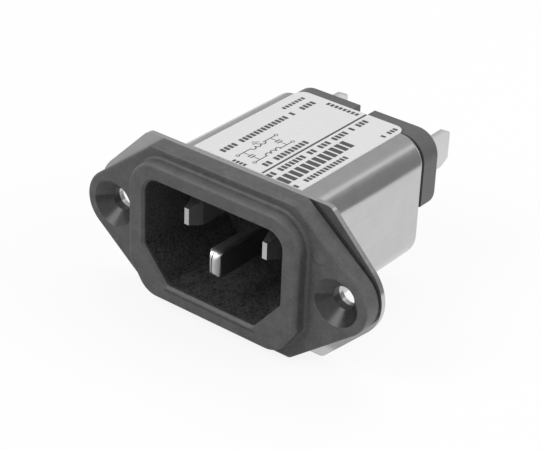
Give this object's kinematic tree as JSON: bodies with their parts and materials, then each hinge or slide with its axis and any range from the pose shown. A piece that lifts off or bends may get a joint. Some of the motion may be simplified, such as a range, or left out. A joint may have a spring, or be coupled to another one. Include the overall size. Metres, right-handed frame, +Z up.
{
  "type": "mains inlet with built-in emi line filter",
  "caption": "Panel-mount mains inlet with an EMI line filter in a drawn metal can: countersunk flange, keyed pin well, rear cover and blade tabs.",
  "frame": {"origin": "midway between the two screw holes, on the rear face of the metal flange, which is the face that meets the panel", "axes": "+X from screw to screw towards the neutral pin, +Y back through the panel towards the blade tabs, +Z up, with the earth pin below the line and neutral pins"},
  "size_m": [0.0504, 0.044, 0.0242],
  "materials": {
    "housing_plastic": "moulded black, fine texture",
    "cover_plastic": "moulded black, smooth",
    "case_steel": "satin plated sheet",
    "pin_plate": "bright nickel plate on brass",
    "tab_plate": "tin plate on brass",
    "rivet_brass": "plain",
    "strap_brass": "plain",
    "board_laminate": "paper laminate",
    "core_ferrite": "coated ferrite",
    "winding_copper": "enamelled copper wire",
    "separator_plastic": "plain",
    "x_cap_case": "moulded box",
    "y_cap_coat": "dipped coat",
    "resistor_coat": "lacquer",
    "liner_film": "polyester film",
    "label_paper": "matt printed"
  },
  "bodies": {
    "root": {"inlet_housing": "housing_plastic", "line_pin": "pin_plate", "neutral_pin": "pin_plate", "earth_pin": "pin_plate", "metal_case": "case_steel", "rear_cover": "cover_plastic", "line_tab": "tab_plate", "neutral_tab": "tab_plate", "earth_tab": "tab_plate", "earth_rivet": "rivet_brass", "earth_strap": "strap_brass", "component_board": "board_laminate", "choke_core": "core_ferrite", "line_winding": "winding_copper", "neutral_winding": "winding_copper", "winding_separator": "separator_plastic", "x_capacitor": "x_cap_case", "line_y_capacitor": "y_cap_coat", "neutral_y_capacitor": "y_cap_coat", "bleed_resistor": "resistor_coat", "insulating_liner": "liner_film", "rating_label": "label_paper"}
  },
  "joints": []
}
